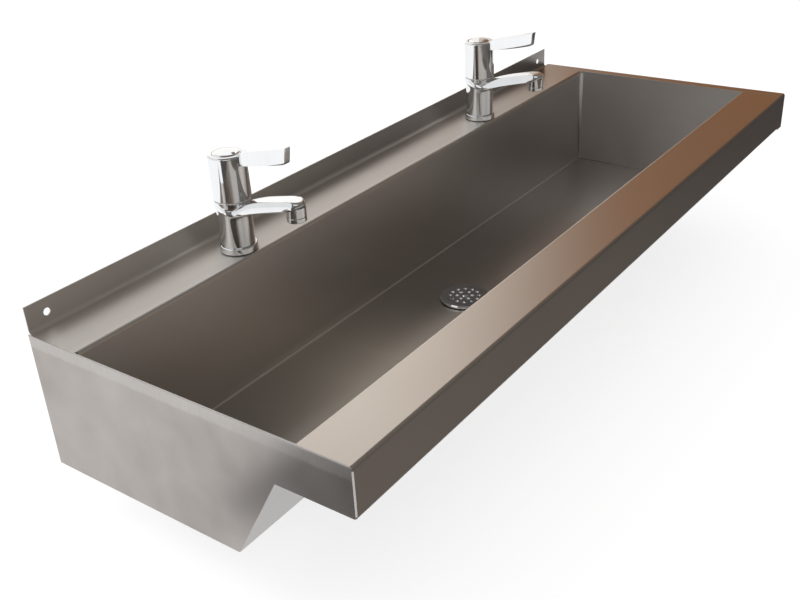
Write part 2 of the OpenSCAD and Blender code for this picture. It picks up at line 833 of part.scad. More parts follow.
tap_spindle(tap_2_x);  // tap_2_spindle
tap_lever_screw(tap_2_x);  // tap_2_lever_screw
tap_cap(tap_2_x);  // tap_2_cap
tap_index_pip(tap_2_x);  // tap_2_index_pip
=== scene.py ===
import json
import math
import bpy
import bmesh
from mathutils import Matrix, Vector


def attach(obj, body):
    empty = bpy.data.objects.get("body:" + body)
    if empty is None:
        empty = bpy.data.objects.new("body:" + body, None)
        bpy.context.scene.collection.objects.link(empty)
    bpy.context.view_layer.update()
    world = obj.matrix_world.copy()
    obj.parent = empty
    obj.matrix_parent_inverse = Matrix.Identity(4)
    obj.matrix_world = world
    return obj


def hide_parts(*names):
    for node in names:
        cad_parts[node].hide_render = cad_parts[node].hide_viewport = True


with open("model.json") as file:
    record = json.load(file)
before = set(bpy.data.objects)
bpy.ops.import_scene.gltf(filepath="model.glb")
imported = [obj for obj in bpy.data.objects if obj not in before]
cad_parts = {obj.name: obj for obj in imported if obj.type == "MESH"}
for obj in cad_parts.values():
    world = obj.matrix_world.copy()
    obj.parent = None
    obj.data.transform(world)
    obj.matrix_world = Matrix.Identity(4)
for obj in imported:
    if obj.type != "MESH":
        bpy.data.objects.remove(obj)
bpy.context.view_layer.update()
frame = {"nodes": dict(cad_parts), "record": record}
nodes = frame["nodes"]
ledgeZ = -0.016          # height of the tap ledge in the part's frame
print("frame loaded,", len(nodes), "nodes")


# small helpers
def deselectAll():
    if bpy.context.object and bpy.context.object.mode != "OBJECT":
        bpy.ops.object.mode_set(mode="OBJECT")
    bpy.ops.object.select_all(action="DESELECT")


def makeActive(obj):
    deselectAll()
    obj.select_set(True)
    bpy.context.view_layer.objects.active = obj


def settlePrimitive(name):
    # the new primitive's place and size go into its mesh
    obj = bpy.context.object
    obj.name = obj.data.name = name
    bpy.ops.object.transform_apply(location=True, rotation=True, scale=True)
    return obj


def startEdit(obj, mode="FACE"):
    makeActive(obj)
    bpy.ops.object.mode_set(mode="EDIT")
    bpy.ops.mesh.select_mode(type=mode)
    selectNone()


def stopEdit():
    bpy.ops.object.mode_set(mode="OBJECT")


def middleOf(item):
    if isinstance(item, bmesh.types.BMVert):
        return item.co
    if isinstance(item, bmesh.types.BMEdge):
        return (item.verts[0].co + item.verts[1].co) / 2
    return item.calc_center_median()


def selectAll():
    bpy.ops.mesh.select_all(action="SELECT")


def selectNone():
    bpy.ops.mesh.select_all(action="DESELECT")


def pick(kind, test):
    # selects only the verts, edges or faces that pass the test, in edit mode
    selectNone()
    data = bpy.context.object.data
    shape = bmesh.from_edit_mesh(data)
    for item in getattr(shape, kind):
        if test(item):
            item.select_set(True)
    shape.select_flush_mode()
    bmesh.update_edit_mesh(data)


def moveVerts(place):
    # moves each vert to a place worked out from where it is
    data = bpy.context.object.data
    for vert in bmesh.from_edit_mesh(data).verts:
        vert.co = place(vert.co)
    bmesh.update_edit_mesh(data)


def extrudeBy(x=0.0, y=0.0, z=0.0):
    bpy.ops.mesh.extrude_region_move(TRANSFORM_OT_translate={"value": (x, y, z)})


def bevelPicked(size, steps, affect="EDGES"):
    bpy.ops.mesh.bevel(offset_type="OFFSET", offset=size, segments=steps, profile=0.5, affect=affect)


def cutAcross(place, normal):
    # a cut right through the piece that is being edited
    selectAll()
    bpy.ops.mesh.bisect(plane_co=place, plane_no=normal)


def turnInsideOut(obj):
    startEdit(obj)
    selectAll()
    bpy.ops.mesh.flip_normals()
    stopEdit()


def withModifier(obj, kind, **values):
    makeActive(obj)
    bpy.ops.object.modifier_add(type=kind)
    modifier = obj.modifiers[-1]
    for key in values:
        setattr(modifier, key, values[key])
    bpy.ops.object.modifier_apply(modifier=modifier.name)


def softenEdges(obj, width):
    withModifier(obj, "BEVEL", width=width, segments=2, limit_method="ANGLE", angle_limit=math.radians(50),
                 miter_outer="MITER_ARC", harden_normals=False)


def cutAway(obj, cutter, operation="DIFFERENCE"):
    withModifier(obj, "BOOLEAN", object=cutter, operation=operation, solver="EXACT")
    bpy.data.objects.remove(cutter, do_unlink=True)


def cylinderAt(name, centre, radius, depth, sides=64, turn=(0, 0, 0)):
    deselectAll()
    bpy.ops.mesh.primitive_cylinder_add(vertices=sides, radius=radius, depth=depth, location=centre,
                                        rotation=turn)
    return settlePrimitive(name)


def shapeAt(name, addShape, centre, size, turn=(0, 0, 0)):
    # a plane or a cube of a size in x, y and z, turned and then moved to its centre
    deselectAll()
    addShape(size=1, location=centre, rotation=turn)
    bpy.context.object.scale = size
    return settlePrimitive(name)


def smoothShade(obj, angle=30):
    makeActive(obj)
    bpy.ops.object.shade_smooth_by_angle(angle=math.radians(angle))
    withModifier(obj, "WEIGHTED_NORMAL", keep_sharp=True, weight=80)


def tidyNormals(obj, gap=1e-6):
    startEdit(obj, "VERT")
    selectAll()
    bpy.ops.mesh.remove_doubles(threshold=gap)
    bpy.ops.mesh.normals_make_consistent(inside=False)
    stopEdit()


def turnedPiece(name, outline, centre, steps=64, closed=False):
    # one point is drawn out along an outline of (radius, height), then spun round
    deselectAll()
    start = Vector(centre) + Vector((outline[0][0], 0, outline[0][1]))
    bpy.ops.mesh.primitive_plane_add(size=0.001, location=start)
    obj = settlePrimitive(name)
    startEdit(obj, "VERT")
    selectAll()
    bpy.ops.mesh.merge(type="CENTER")
    for here, there in zip(outline, outline[1:]):
        extrudeBy(there[0] - here[0], 0, there[1] - here[1])
    if closed:
        extrudeBy(outline[0][0] - outline[-1][0], 0, outline[0][1] - outline[-1][1])
    selectAll()
    bpy.ops.mesh.remove_doubles(threshold=1e-7)
    selectAll()
    bpy.ops.mesh.spin(steps=steps, angle=math.tau, center=centre, axis=(0, 0, 1), use_normal_flip=False)
    stopEdit()
    tidyNormals(obj)
    return obj


def arcPoints(centre, radius, start, end, steps=5):
    points = []
    for i in range(steps + 1):
        angle = math.radians(start + (end - start) * i / steps)
        points.append((centre[0] + radius * math.cos(angle), centre[1] + radius * math.sin(angle)))
    return points


def markLooksDown(obj):
    # notes on each face how far it looks down, for the painted shade on the sheet's underside
    layer = obj.data.attributes.new("looksDown", "FLOAT", "FACE")
    for face in obj.data.polygons:
        layer.data[face.index].value = min(1.0, max(0.0, (-0.10 - face.normal.z) / 0.20))


def finishPiece(obj, body, material, slotName, *nodeNames):
    obj.data.materials.clear()
    obj.data.materials.append(material)
    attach(obj, body)
    if nodeNames:
        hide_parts(*nodeNames)


# materials
def newMaterial(name, color, metallic, roughness):
    material = bpy.data.materials.new(name)
    material.use_nodes = True
    shader = material.node_tree.nodes["Principled BSDF"]
    shader.inputs["Base Color"].default_value = (*color, 1)
    shader.inputs["Metallic"].default_value = metallic
    shader.inputs["Roughness"].default_value = roughness
    return material, material.node_tree


def feed(tree, socket, value):
    # a socket is linked, a number or a colour is set on the input itself
    if isinstance(value, bpy.types.NodeSocket):
        tree.links.new(value, socket)
    elif isinstance(value, tuple):
        socket.default_value = (*value, 1)
    else:
        socket.default_value = value


def grainOf(tree, stretch, scale, detail=3.0, offset=(0, 0, 0)):
    # noise on the object's own coordinates, stretched by different amounts along x, y and z
    where = tree.nodes.new("ShaderNodeTexCoord")
    mapping = tree.nodes.new("ShaderNodeMapping")
    mapping.inputs["Scale"].default_value = stretch
    mapping.inputs["Location"].default_value = offset
    noise = tree.nodes.new("ShaderNodeTexNoise")
    noise.inputs["Scale"].default_value = scale
    noise.inputs["Detail"].default_value = detail
    tree.links.new(where.outputs["Object"], mapping.inputs["Vector"])
    tree.links.new(mapping.outputs["Vector"], noise.inputs["Vector"])
    return noise.outputs["Fac"]


def axesOf(tree):
    # x, y and z of a point on the object
    where = tree.nodes.new("ShaderNodeTexCoord")
    split = tree.nodes.new("ShaderNodeSeparateXYZ")
    tree.links.new(where.outputs["Object"], split.inputs["Vector"])
    return [split.outputs[axis] for axis in "XYZ"]


def rangeOf(tree, source, low, high, fromLow=0.3, fromHigh=0.7):
    node = tree.nodes.new("ShaderNodeMapRange")
    node.inputs["From Min"].default_value = fromLow
    node.inputs["From Max"].default_value = fromHigh
    node.inputs["To Min"].default_value = low
    node.inputs["To Max"].default_value = high
    tree.links.new(source, node.inputs["Value"])
    return node.outputs["Result"]


def rising(tree, source, start, end):
    return rangeOf(tree, source, 0.0, 1.0, start, end)


def falling(tree, source, start, end):
    return rangeOf(tree, source, 1.0, 0.0, start, end)


def mixColors(tree, share, first, second):
    node = tree.nodes.new("ShaderNodeMix")
    node.data_type = "RGBA"
    tree.links.new(share, node.inputs["Factor"])
    feed(tree, node.inputs["A"], first)
    feed(tree, node.inputs["B"], second)
    return node.outputs["Result"]


def mathOf(tree, operation, first, second=0.0):
    node = tree.nodes.new("ShaderNodeMath")
    node.operation = operation
    feed(tree, node.inputs[0], first)
    feed(tree, node.inputs[1], second)
    return node.outputs["Value"]


def product(tree, whole, *shares):
    for share in shares:
        whole = mathOf(tree, "MULTIPLY", whole, share)
    return whole


def giveShader(tree, color, rough):
    shader = tree.nodes["Principled BSDF"]
    tree.links.new(color, shader.inputs["Base Color"])
    tree.links.new(rough, shader.inputs["Roughness"])


def brushedSteel(name, stretch, dark, light, roughLow, roughHigh, blotch, grainShare=0.3, rubShare=0.15):
    # rolled sheet: a fine grain along one axis, cloudy patches and a few rubbed marks
    material, tree = newMaterial(name, light, 1.0, roughHigh)
    grain = grainOf(tree, stretch, 1.0, 4.0)
    clouds = grainOf(tree, (1, 1, 1), blotch, 3.0, (3.1, 0.4, 1.7))
    rubs = grainOf(tree, (1, 1, 1), blotch * 3, 3.0, (0.2, 2.4, 5.3))
    mixed = mathOf(tree, "ADD", product(tree, grain, grainShare),
                   mathOf(tree, "ADD", product(tree, clouds, 1 - rubShare - grainShare),
                          product(tree, rubs, rubShare)))
    color = mixColors(tree, rangeOf(tree, mixed, 0.0, 1.0, 0.34, 0.66), dark, light)
    return material, tree, color, rangeOf(tree, mixed, roughHigh, roughLow, 0.36, 0.64)


# tones of the sheet, and the painted light and shade that shadeSheet lays over them
sheetTonesAndPaintedLight = dict(bowlLeft=(0.585, 0.553, 0.527), bowlRight=(0.515, 0.497, 0.482),
                   lightPatchTone=(0.93, 0.89, 0.80), lightPatchRough=0.26, ledgePaintedLightTone=(0.78, 0.74, 0.70),
                   ledgeMiddleLightTone=(0.99, 0.95, 0.90), ledgeExtraRough=0.17, undersideShadeTone=(0.43, 0.415, 0.41),
                   upstandTone=(0.455, 0.43, 0.415))


def shadeSheet(tree, color, rough):
    x, y, z = axesOf(tree)
    # inside the bowl the sheet is a cooler grey, with painted shade darkening it a little to the right
    inside = product(tree, falling(tree, x, 0.5895, 0.5905), falling(tree, z, ledgeZ - 0.008, ledgeZ - 0.004),
                     rangeOf(tree, y, 0.0, 0.85, -0.410, -0.400))
    coolShadedRight = mixColors(tree, rising(tree, x, -0.10, 0.50), sheetTonesAndPaintedLight["bowlLeft"], sheetTonesAndPaintedLight["bowlRight"])
    color = mixColors(tree, inside, color, coolShadedRight)
    # painted light: a pale patch on the floor at the left of the waste, which is also rougher there
    paintedLightPatch = product(tree, falling(tree, z, ledgeZ - 0.168, ledgeZ - 0.158), falling(tree, x, -0.20, -0.05),
                       rising(tree, x, -0.46, -0.27), rangeOf(tree, y, 1.0, 0.4, -0.18, -0.09))
    color = mixColors(tree, paintedLightPatch, color, sheetTonesAndPaintedLight["lightPatchTone"])
    # painted light makes the tap ledge paler, palest along its middle and least at its right end, and rougher
    ledgeRoughAndPaintedLight = product(tree, falling(tree, x, 0.36, 0.54), rising(tree, y, -0.081, -0.077),
                   rising(tree, z, ledgeZ - 0.0035, ledgeZ - 0.0018))
    middle = product(tree, rising(tree, y, -0.064, -0.036), falling(tree, y, -0.022, -0.009))
    pale = mixColors(tree, middle, sheetTonesAndPaintedLight["ledgePaintedLightTone"], sheetTonesAndPaintedLight["ledgeMiddleLightTone"])
    color = mixColors(tree, ledgeRoughAndPaintedLight, color, pale)
    rough = mathOf(tree, "ADD", rough, product(tree, ledgeRoughAndPaintedLight, sheetTonesAndPaintedLight["ledgeExtraRough"]))
    rough = mathOf(tree, "ADD", rough, product(tree, paintedLightPatch, sheetTonesAndPaintedLight["lightPatchRough"]))
    # painted shade: faces that look down are darkened
    marked = tree.nodes.new("ShaderNodeAttribute")
    marked.attribute_name = "looksDown"
    color = mixColors(tree, marked.outputs["Fac"], color, sheetTonesAndPaintedLight["undersideShadeTone"])
    # painted shade: the front of the upstand darkens to the right
    paintedUpstandShade = product(tree, falling(tree, y, -0.0014, -0.0011), rising(tree, x, -0.56, 0.02),
                     rising(tree, z, ledgeZ + 0.001, ledgeZ + 0.007),
                     falling(tree, z, ledgeZ + 0.0327, ledgeZ + 0.0330))
    giveShader(tree, mixColors(tree, paintedUpstandShade, color, sheetTonesAndPaintedLight["upstandTone"]), rough)


# tones of the end panels, with the painted light inside the bowl
panelTonesAndPaintedLight = dict(outerX=0.5892, bandLow=ledgeZ - 0.0150, bandHigh=ledgeZ - 0.0115, ragged=0.0025,
                   bandTone=(0.51, 0.485, 0.465), bandRough=0.04, innerPaintedLightTone=(0.70, 0.685, 0.675),
                   innerLow=ledgeZ - 0.190, innerHigh=ledgeZ - 0.030)


def shadePanels(tree, color, rough):
    x, y, z = axesOf(tree)
    outside = mathOf(tree, "GREATER_THAN", mathOf(tree, "ABSOLUTE", x), panelTonesAndPaintedLight["outerX"])
    # the strip along the weld outside was ground flush: lighter, with marks across it
    height = mathOf(tree, "ADD", z, product(tree, grainOf(tree, (1, 1, 1), 90.0), panelTonesAndPaintedLight["ragged"]))
    marks = rangeOf(tree, grainOf(tree, (90, 420, 40), 1.0), 0.55, 1.0)
    band = product(tree, rising(tree, height, panelTonesAndPaintedLight["bandLow"], panelTonesAndPaintedLight["bandHigh"]), outside, marks)
    color = mixColors(tree, band, color, panelTonesAndPaintedLight["bandTone"])
    rough = mathOf(tree, "ADD", rough, product(tree, band, panelTonesAndPaintedLight["bandRough"]))
    # painted light: the faces inside the bowl are paler, most of all towards the top
    inner = product(tree, mathOf(tree, "SUBTRACT", 1.0, outside),
                    rising(tree, z, panelTonesAndPaintedLight["innerLow"], panelTonesAndPaintedLight["innerHigh"]))
    giveShader(tree, mixColors(tree, inner, color, panelTonesAndPaintedLight["innerPaintedLightTone"]), rough)


def shadeWelds(tree, color, rough):
    # painted highlight: the bead is lighter towards the top; lower down it keeps the dark tone of painted
    # corner shade
    bright = rising(tree, axesOf(tree)[2], ledgeZ - 0.115, ledgeZ - 0.030)
    giveShader(tree, mixColors(tree, bright, color, (0.92, 0.91, 0.89)), rough)


def platedMetal(name, color, roughLow, roughHigh):
    # bright plating: nearly a mirror, with faint wipe marks and dried drops
    material, tree = newMaterial(name, color, 1.0, roughHigh)
    wipes = grainOf(tree, (1, 1, 0.35), 60.0, 4.0)
    dim = tuple(c * 0.96 for c in color)
    giveShader(tree, mixColors(tree, rangeOf(tree, wipes, 0.0, 1.0), dim, color),
               rangeOf(tree, wipes, roughLow, roughHigh))
    return material


def grainyMaterial(name, dark, light, metallic, roughLow, roughHigh, scale, bumpHeight=0.03):
    material, tree = newMaterial(name, light, metallic, roughHigh)
    grain = grainOf(tree, (1, 1, 1), scale, 5.0)
    giveShader(tree, mixColors(tree, rangeOf(tree, grain, 0.0, 1.0), dark, light),
               rangeOf(tree, grain, roughHigh, roughLow))
    bump = tree.nodes.new("ShaderNodeBump")
    bump.inputs["Strength"].default_value = 0.3
    bump.inputs["Distance"].default_value = bumpHeight * 0.001
    tree.links.new(grain, bump.inputs["Height"])
    tree.links.new(bump.outputs["Normal"], tree.nodes["Principled BSDF"].inputs["Normal"])
    return material


shellSteel, *shellParts = brushedSteel("satinSteelAlongTrough", (3, 500, 500), (0.60, 0.54, 0.48),
                                       (0.635, 0.575, 0.515), 0.31, 0.345, 2.2, 0.12)
shadeSheet(*shellParts)
# the welds inside the bowl: their dark tone is painted shade in the bowl's corners
weldWithPaintedShade, *weldParts = brushedSteel("cornerWeldPaintedShade", (300, 300, 40), (0.30, 0.27, 0.24), (0.36, 0.33, 0.30),
                                     0.36, 0.44, 30.0)
shadeWelds(*weldParts)
panelSteel, *panelParts = brushedSteel("millSteelEndPanel", (30, 30, 30), (0.38, 0.349, 0.330),
                                       (0.447, 0.415, 0.396), 0.30, 0.40, 9.0)
shadePanels(*panelParts)
# the front corner bead: a polished weld whose pale tone is also a painted highlight
beadWithPaintedHighlight = grainyMaterial("weldBeadPaintedHighlight", (0.80, 0.77, 0.73), (0.90, 0.87, 0.83), 0.45, 0.35, 0.5, 400.0,
                           0.05)
chrome = platedMetal("chromePlate", (0.83, 0.84, 0.85), 0.03, 0.07)
brass = grainyMaterial("turnedBrass", (0.62, 0.46, 0.20), (0.74, 0.58, 0.30), 1.0, 0.28, 0.42, 240.0)
rubber = grainyMaterial("blackRubber", (0.016, 0.016, 0.016), (0.035, 0.035, 0.035), 0.0, 0.55, 0.75, 300.0,
                        0.08)
whitePlastic = grainyMaterial("whitePlastic", (0.66, 0.65, 0.61), (0.74, 0.73, 0.70), 0.0, 0.35, 0.5, 260.0)
darkSteel = grainyMaterial("darkSteel", (0.10, 0.10, 0.105), (0.16, 0.16, 0.165), 1.0, 0.3, 0.45, 300.0)
slotFinish = {"satin_steel": shellSteel, "mill_steel": panelSteel, "chrome": chrome, "brass": brass,
              "rubber": rubber, "white_plastic": whitePlastic, "dark_steel": darkSteel}
print("materials ready")

# the folded sheet
trough = dict(length=1.180, depth=0.448, bowl=0.1715, sheet=0.0015, ledge=0.079, floor=0.207, rim=0.066,
              apron=0.0585, turnIn=0.015, upstand=0.033, fold=0.0025, upstandFold=0.005, lip=0.020,
              flange=0.028, wallHole=0.0045, holeInset=0.0285, holeUp=0.016,
              lowHoleInset=0.016, lowHoleUp=0.038, notch=0.0017, tapHole=0.01125, wasteHole=0.025)
leftEnd, rightEnd = -trough["length"] / 2, trough["length"] / 2
sheet = trough["sheet"]
underZ = ledgeZ - trough["bowl"] - sheet
frontY = -trough["depth"]
rimY = frontY + trough["rim"]
floorY = -trough["ledge"] - trough["floor"]
slopeRun = (rimY - floorY) / trough["bowl"]     # how far the slope moves out for each unit it rises
slopeTurn = math.atan2(trough["bowl"], floorY - rimY)
sectionPath = [(-sheet, ledgeZ + trough["upstand"]), (-sheet, ledgeZ), (-trough["ledge"], ledgeZ),
               (-trough["ledge"], ledgeZ - trough["bowl"]), (floorY, ledgeZ - trough["bowl"]),
               (rimY, ledgeZ), (frontY, ledgeZ), (frontY, ledgeZ - trough["apron"]),
               (frontY + trough["turnIn"], ledgeZ - trough["apron"])]
tapX = {1: -0.310, 2: 0.270}
tapY = -0.052
wasteX, wasteY = -0.012, -0.195
throughSheet = 0.01                 # length of a cutter that goes right through the sheet
wallwards = (math.pi / 2, 0, 0)     # turn of a cutter that points at the wall


def foldEdges(obj, folds):
    # each fold is (y, z, bevel offset); its edge runs all along the trough
    for y, z, size in folds:
        startEdit(obj, "EDGE")
        pick("edges", lambda e: abs(e.verts[0].co.x - e.verts[1].co.x) > 0.01
             and abs(middleOf(e).y - y) < 1e-5 and abs(middleOf(e).z - z) < 1e-5)
        bevelPicked(size, 8)
        stopEdit()


def makeTroughSheet():
    obj = shapeAt("troughSheet", bpy.ops.mesh.primitive_plane_add, (0, -sheet, ledgeZ + trough["upstand"] / 2),
                  (trough["length"] - 2 * sheet, trough["upstand"], 1), wallwards)
    startEdit(obj, "EDGE")
    pick("edges", lambda e: abs(middleOf(e).z - ledgeZ) < 1e-5)
    for here, there in zip(sectionPath[1:], sectionPath[2:]):
        extrudeBy(0, there[0] - here[0], there[1] - here[1])
    stopEdit()
    inner, outer = trough["fold"], trough["fold"] + sheet
    slant = math.tan(slopeTurn / 2)
    sizes = [trough["upstandFold"], outer, inner, inner * slant, outer * slant, outer, outer]
    foldEdges(obj, [(y, z, size) for (y, z), size in zip(sectionPath[1:8], sizes)])
    tidyNormals(obj)
    # the seen face of the ledge has to look up, so that the sheet grows to its back
    if max(obj.data.polygons, key=lambda f: f.area * (abs(f.center.z - ledgeZ) < 1e-5)).normal.z < 0:
        turnInsideOut(obj)
    withModifier(obj, "SOLIDIFY", thickness=sheet, offset=-1.0, use_even_offset=True)
    for x in (leftEnd + trough["holeInset"], rightEnd - trough["holeInset"]):
        cutAway(obj, cylinderAt("wallHole", (x, -sheet / 2, ledgeZ + trough["holeUp"]), trough["wallHole"],
                                throughSheet, 40, wallwards))
    for x in tapX.values():
        cutAway(obj, cylinderAt("tapHole", (x, tapY, ledgeZ), trough["tapHole"], throughSheet, 48))
    cutAway(obj, cylinderAt("wasteHole", (wasteX, wasteY, ledgeZ - trough["bowl"]), trough["wasteHole"],
                            throughSheet, 64))
    reliefPlace = (leftEnd + sheet + trough["notch"], -trough["ledge"] + 0.0012, ledgeZ)
    cutAway(obj, cylinderAt("cornerRelief", reliefPlace, trough["notch"], 0.012, 24))
    softenEdges(obj, 0.00025)
    smoothShade(obj)
    markLooksDown(obj)
    finishPiece(obj, "trough", shellSteel, "satin_steel", "trough_shell")


makeTroughSheet()
print("trough sheet folded")


# end panels, with the weld bead of the left one, and a dark ball of painted shade under the relief hole beside
# it
bead = dict(room=0.0015, radius=0.00135, ripples=22, shrink=0.90)
reliefShade = dict(radius=0.0022, y=-0.0765, down=0.0040)


def makeEndPanel(name, outerX, inward, nodeName):
    outer = trough["fold"] + sheet
    apronZ = ledgeZ - trough["apron"]
    # the slope's outer face, one sheet out from the face that is seen
    slopeLen = math.hypot(floorY - rimY, trough["bowl"])
    backFoot = floorY - sheet * trough["bowl"] / slopeLen
    backFootZ = ledgeZ - trough["bowl"] - sheet * (floorY - rimY) / slopeLen
    slopeAtApron = backFoot + (apronZ - backFootZ) * slopeRun
    slopeAtUnder = backFoot + (underZ - backFootZ) * slopeRun
    obj = shapeAt(name, bpy.ops.mesh.primitive_plane_add, (outerX, frontY / 2, (ledgeZ + apronZ) / 2),
                  (trough["apron"], trough["depth"], 1), (0, math.pi / 2, 0))
    startEdit(obj)
    cutAcross((0, slopeAtApron, 0), (0, 1, 0))
    stopEdit()
    startEdit(obj, "EDGE")
    pick("edges", lambda e: abs(middleOf(e).z - apronZ) < 1e-5 and middleOf(e).y > slopeAtApron)
    extrudeBy(0, 0, underZ - apronZ)
    stopEdit()
    startEdit(obj, "VERT")
    moveVerts(lambda p: Vector((p.x, slopeAtUnder, p.z)) if abs(p.z - underZ) < 1e-5 and p.y < -0.1 else p)
    for y, z, size in ((slopeAtUnder, underZ, outer * math.tan(slopeTurn / 2)),
                       (frontY, ledgeZ, outer), (frontY, apronZ, outer)):
        pick("verts", lambda v: abs(v.co.y - y) < 1e-5 and abs(v.co.z - z) < 1e-5)
        bevelPicked(size, 8, affect="VERTICES")
    stopEdit()
    tidyNormals(obj)
    # the plate grows inwards from the face that is seen
    if obj.data.polygons[0].normal.x * inward > 0:
        turnInsideOut(obj)
    withModifier(obj, "SOLIDIFY", thickness=sheet, offset=-1.0)
    # wall flange, drawn out from a strip along the plate's back edge
    flangeTop = ledgeZ - sheet - trough["upstandFold"]
    startEdit(obj)
    cutAcross((0, -sheet, 0), (0, 1, 0))
    cutAcross((0, 0, flangeTop), (0, 0, 1))
    innerX = outerX + inward * sheet
    pick("faces", lambda f: abs(middleOf(f).x - innerX) < 1e-5 and middleOf(f).y > -sheet
         and middleOf(f).z < flangeTop)
    extrudeBy(x=inward * (trough["flange"] - sheet))
    stopEdit()
    holePlace = (outerX + inward * trough["lowHoleInset"], -sheet / 2, underZ + trough["lowHoleUp"])
    cutAway(obj, cylinderAt("lowHole", holePlace, trough["wallHole"], throughSheet, 40, wallwards))
    startEdit(obj, "EDGE")
    pick("edges", lambda e: all(abs(v.co.x - outerX) < 1e-5 for v in e.verts) and len(e.link_faces) == 2
         and e.calc_face_angle(0) > 1.0)
    bevelPicked(0.0010, 4)
    stopEdit()
    if inward > 0:
        # room for the bead that closes the front corner
        cutAway(obj, cylinderAt("beadRoom", (outerX, frontY, (ledgeZ + apronZ) / 2), bead["room"],
                                trough["apron"] - 2 * outer, 24))
    softenEdges(obj, 0.0002)
    smoothShade(obj)
    finishPiece(obj, "trough", panelSteel, "mill_steel", nodeName)


def makeCornerBead():
    # weld bead down the front corner, dressed level with the end panel and the apron
    radius, length = bead["radius"], trough["apron"] - 2 * (trough["fold"] + sheet)
    middle = Vector((leftEnd + radius, frontY + radius, ledgeZ - trough["apron"] / 2))
    obj = cylinderAt("cornerBead", middle, radius, length, 24)
    startEdit(obj)
    for level in range(1, bead["ripples"]):
        cutAcross((0, 0, middle.z + length * (level / bead["ripples"] - 0.5)), (0, 0, 1))

    def ripple(p):
        # the ripples that the torch leaves
        step = round((p.z - middle.z + length / 2) * bead["ripples"] / length)
        shrink = bead["shrink"] if step % 2 else 1.0
        return Vector((middle.x + (p.x - middle.x) * shrink, middle.y + (p.y - middle.y) * shrink, p.z))

    moveVerts(ripple)
    stopEdit()
    smoothShade(obj, 60)
    finishPiece(obj, "trough", beadWithPaintedHighlight, "satin_steel")


def makeReliefShade():
    # a dark ball of painted shade under the relief hole, where the ledge meets the left end panel
    deselectAll()
    place = (leftEnd + sheet + trough["notch"], reliefShade["y"], ledgeZ - reliefShade["down"])
    bpy.ops.mesh.primitive_uv_sphere_add(segments=24, ring_count=14, radius=reliefShade["radius"], location=place)
    obj = settlePrimitive("darkBallUnderRelief")
    smoothShade(obj, 60)
    finishPiece(obj, "trough", darkSteel, "satin_steel")


makeEndPanel("endPanelLeft", leftEnd, 1, "end_panel_left")
makeEndPanel("endPanelRight", rightEnd, -1, "end_panel_right")
makeCornerBead()
makeReliefShade()
print("end panels cut")


# folded rim past the right end
def makeEndRim():
    apronZ = ledgeZ - trough["apron"]
    outerX = rightEnd + trough["lip"]
    outer = trough["fold"] + sheet
    obj = shapeAt("endRimRight", bpy.ops.mesh.primitive_cube_add,
                  ((rightEnd + outerX) / 2, frontY / 2, (ledgeZ + apronZ) / 2),
                  (trough["lip"], trough["depth"], trough["apron"]))
    startEdit(obj)
    pick("faces", lambda f: f.normal.z < -0.5 or f.normal.x < -0.5 or f.normal.y > 0.5)
    bpy.ops.mesh.delete(type="FACE")
    stopEdit()
    for isFold in (lambda e: abs(e.verts[0].co.x - e.verts[1].co.x) > 0.01 and middleOf(e).y < -0.3,
                   lambda e: abs(e.verts[0].co.y - e.verts[1].co.y) > 0.3 and middleOf(e).x > rightEnd + 0.01):
        startEdit(obj, "EDGE")
        pick("edges", lambda e: middleOf(e).z > ledgeZ - 0.001 and isFold(e))
        bevelPicked(outer, 6)
        stopEdit()
    withModifier(obj, "SOLIDIFY", thickness=sheet, offset=-1.0, use_even_offset=True)
    softenEdges(obj, 0.00025)
    smoothShade(obj)
    markLooksDown(obj)
    finishPiece(obj, "trough", shellSteel, "satin_steel", "end_rim_right")


makeEndRim()
print("end rim folded")


# welds inside the bowl's ends
weld = dict(steps=6, belowLedge=0.0042, belowRim=0.0046, hollow=0.86,
            legs=[0.0046, 0.0042, 0.0034, 0.0024, 0.0012])


